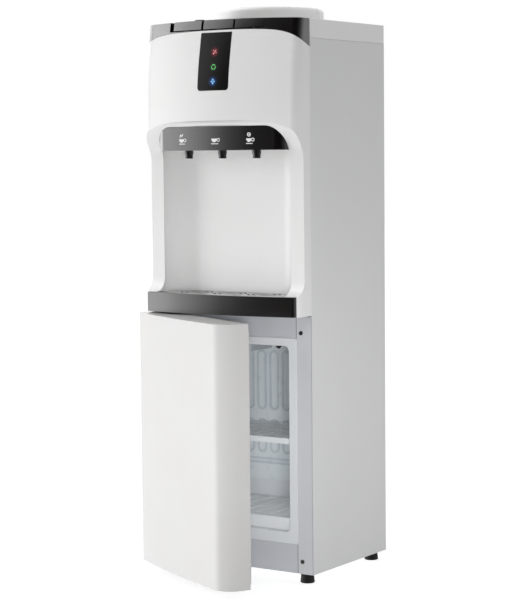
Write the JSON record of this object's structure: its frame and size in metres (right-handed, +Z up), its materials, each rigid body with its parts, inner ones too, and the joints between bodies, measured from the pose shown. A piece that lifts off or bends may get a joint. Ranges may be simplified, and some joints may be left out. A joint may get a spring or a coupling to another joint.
{
  "type": "top-loading water cooler",
  "caption": "Floor-standing water cooler with three press keys over a lit niche, a lift-out drip tray and a small fridge behind a hinged door.",
  "frame": {"origin": "floor level, centred between the side panels, under their front edge", "axes": "+X to the cooler's right seen from the front, -Y toward the user, +Z up"},
  "size_m": [0.3309, 0.4361, 0.9965],
  "materials": {
    "white_plastic": "smooth semi-gloss moulding",
    "door_white": "smooth semi-gloss moulding",
    "dark_gloss": "high gloss",
    "dark_satin": "satin",
    "panel_black": "mirror gloss",
    "lens": "smoked gloss",
    "sheet_grey": "fine satin paint",
    "frame_white": "satin paint",
    "zinc_sheet": "zinc plated",
    "steel": "bright turned steel",
    "black_paint": "black enamel",
    "rubber_black": "matte",
    "hose_white": "silicone",
    "foam": "foam",
    "liner_white": "smooth gloss",
    "evap_white": "gloss paint",
    "shelf_white": "smooth gloss",
    "seal_white": "soft matte",
    "cap_blue": "satin",
    "cap_red": "satin",
    "rocker_red": "gloss",
    "rocker_green": "gloss",
    "thermo_grey": "satin"
  },
  "bodies": {
    "cabinet": {"front_fascia": "white_plastic", "indicator_panel": "panel_black", "indicator_lenses": "lens", "control_band": "dark_gloss", "key_rod": "steel", "taps": "dark_satin", "top_cover": "white_plastic", "niche_panel": "white_plastic", "tap_fascia": "dark_gloss", "side_left": "sheet_grey", "side_right": "sheet_grey", "front_fixings": "black_paint", "front_rails": "frame_white", "base_plate": "zinc_sheet", "foot_nuts": "steel", "bay_floor": "zinc_sheet", "fridge_liner": "liner_white", "fridge_foam": "foam", "evaporator": "evap_white", "thermostat_box": "thermo_grey", "hinge_plates": "zinc_sheet", "hinge_pins": "steel", "rear_panel": "sheet_grey", "condenser": "black_paint", "condenser_clips": "dark_satin", "compressor": "black_paint", "compressor_mounts": "rubber_black", "tanks": "steel", "tank_foam": "foam", "tank_brackets": "zinc_sheet", "hoses": "hose_white", "drain_spouts": "white_plastic", "switch_bezel": "dark_satin", "cable_gland": "rubber_black", "rear_screws": "steel"},
    "door": {"door_shell": "door_white", "door_bushes": "dark_satin", "door_liner": "liner_white", "door_gasket": "seal_white"},
    "hot_key": {"key_hot": "dark_gloss"},
    "lock": {"child_lock": "dark_satin"},
    "warm_key": {"key_warm": "dark_gloss"},
    "cold_key": {"key_cold": "dark_gloss"},
    "hot_plunger": {"plunger_hot": "dark_satin"},
    "warm_plunger": {"plunger_warm": "dark_satin"},
    "cold_plunger": {"plunger_cold": "dark_satin"},
    "tray": {"drip_tray": "dark_gloss"},
    "grille": {"drip_grille": "dark_satin"},
    "collar": {"bottle_collar": "white_plastic"},
    "probe": {"bottle_probe": "white_plastic"},
    "fridge_shelf": {"shelf": "shelf_white"},
    "crisper": {"crisper_tray": "shelf_white"},
    "foot_fl": {"foot_front_left": "rubber_black"},
    "foot_rl": {"foot_rear_left": "rubber_black"},
    "foot_fr": {"foot_front_right": "rubber_black"},
    "foot_rr": {"foot_rear_right": "rubber_black"},
    "hot_drain": {"drain_cap_hot": "cap_red"},
    "cold_drain": {"drain_cap_cold": "cap_blue"},
    "heat_switch": {"switch_heat": "rocker_red"},
    "cool_switch": {"switch_cool": "rocker_green"}
  },
  "joints": [
    {"name": "door_hinge", "type": "hinge", "parent": "cabinet", "child": "door", "pos_m": [-0.1495, -0.02, 0.2407], "axis": [0, 0, -1], "range_deg": [-27.6, 82.4]},
    {"name": "hot_key_press", "type": "hinge", "parent": "cabinet", "child": "hot_key", "pos_m": [-0.0644, 0.006, 0.9646], "axis": [1, 0, 0], "range_deg": [0, 2.2], "stiffness_Nm_per_rad": 1.2, "springref_deg": -1.72},
    {"name": "hot_plunger_drop", "type": "slide", "parent": "cabinet", "child": "hot_plunger", "axis": [0, 0, -1], "range_m": [0, 0.0015]},
    {"name": "warm_key_press", "type": "hinge", "parent": "cabinet", "child": "warm_key", "pos_m": [0.00155, 0.006, 0.9646], "axis": [1, 0, 0], "range_deg": [0, 2.2], "stiffness_Nm_per_rad": 1.2, "springref_deg": -1.72},
    {"name": "warm_plunger_drop", "type": "slide", "parent": "cabinet", "child": "warm_plunger", "axis": [0, 0, -1], "range_m": [0, 0.0015]},
    {"name": "cold_key_press", "type": "hinge", "parent": "cabinet", "child": "cold_key", "pos_m": [0.0657, 0.006, 0.9646], "axis": [1, 0, 0], "range_deg": [0, 2.2], "stiffness_Nm_per_rad": 1.2, "springref_deg": -1.72},
    {"name": "cold_plunger_drop", "type": "slide", "parent": "cabinet", "child": "cold_plunger", "axis": [0, 0, -1], "range_m": [0, 0.0015]},
    {"name": "lock_slide", "type": "slide", "parent": "hot_key", "child": "lock", "axis": [1, 0, 0], "range_m": [0, 0.006]},
    {"name": "tray_pull", "type": "slide", "parent": "cabinet", "child": "tray", "axis": [0, -1, 0], "range_m": [0, 0.08]},
    {"name": "grille_lift", "type": "slide", "parent": "tray", "child": "grille", "axis": [0, 0, 1], "range_m": [0, 0.03]},
    {"name": "collar_lift", "type": "slide", "parent": "cabinet", "child": "collar", "axis": [0, 0, 1], "range_m": [0, 0.05]},
    {"name": "probe_lift", "type": "slide", "parent": "collar", "child": "probe", "axis": [0, 0, 1], "range_m": [0, 0.05]},
    {"name": "shelf_pull", "type": "slide", "parent": "cabinet", "child": "fridge_shelf", "axis": [0, -1, 0], "range_m": [0, 0.02]},
    {"name": "crisper_pull", "type": "slide", "parent": "cabinet", "child": "crisper", "axis": [0, -1, 0], "range_m": [0, 0.02]},
    {"name": "foot_turn_fl", "type": "hinge", "parent": "cabinet", "child": "foot_fl", "pos_m": [-0.138, 0.0154, 0.01], "axis": [0, 0, 1], "continuous": true},
    {"name": "foot_turn_rl", "type": "hinge", "parent": "cabinet", "child": "foot_rl", "pos_m": [-0.138, 0.234, 0.01], "axis": [0, 0, 1], "continuous": true},
    {"name": "foot_turn_fr", "type": "hinge", "parent": "cabinet", "child": "foot_fr", "pos_m": [0.138, 0.0154, 0.01], "axis": [0, 0, 1], "continuous": true},
    {"name": "foot_turn_rr", "type": "hinge", "parent": "cabinet", "child": "foot_rr", "pos_m": [0.138, 0.234, 0.01], "axis": [0, 0, 1], "continuous": true},
    {"name": "hot_drain_turn", "type": "hinge", "parent": "cabinet", "child": "hot_drain", "pos_m": [0.062, 0.241, 0.69], "axis": [0, 1, 0], "continuous": true},
    {"name": "cold_drain_turn", "type": "hinge", "parent": "cabinet", "child": "cold_drain", "pos_m": [0.112, 0.241, 0.69], "axis": [0, 1, 0], "continuous": true},
    {"name": "heat_rock", "type": "hinge", "parent": "cabinet", "child": "heat_switch", "pos_m": [-0.118, 0.2285, 0.72], "axis": [-1, 0, 0], "range_deg": [0, 14]},
    {"name": "cool_rock", "type": "hinge", "parent": "cabinet", "child": "cool_switch", "pos_m": [-0.092, 0.2285, 0.72], "axis": [-1, 0, 0], "range_deg": [0, 14]}
  ],
  "couplings": [
    {"joint": "hot_plunger_drop", "follows": "hot_key_press", "m_per_rad": 0.037},
    {"joint": "warm_plunger_drop", "follows": "warm_key_press", "m_per_rad": 0.037},
    {"joint": "cold_plunger_drop", "follows": "cold_key_press", "m_per_rad": 0.037}
  ]
}
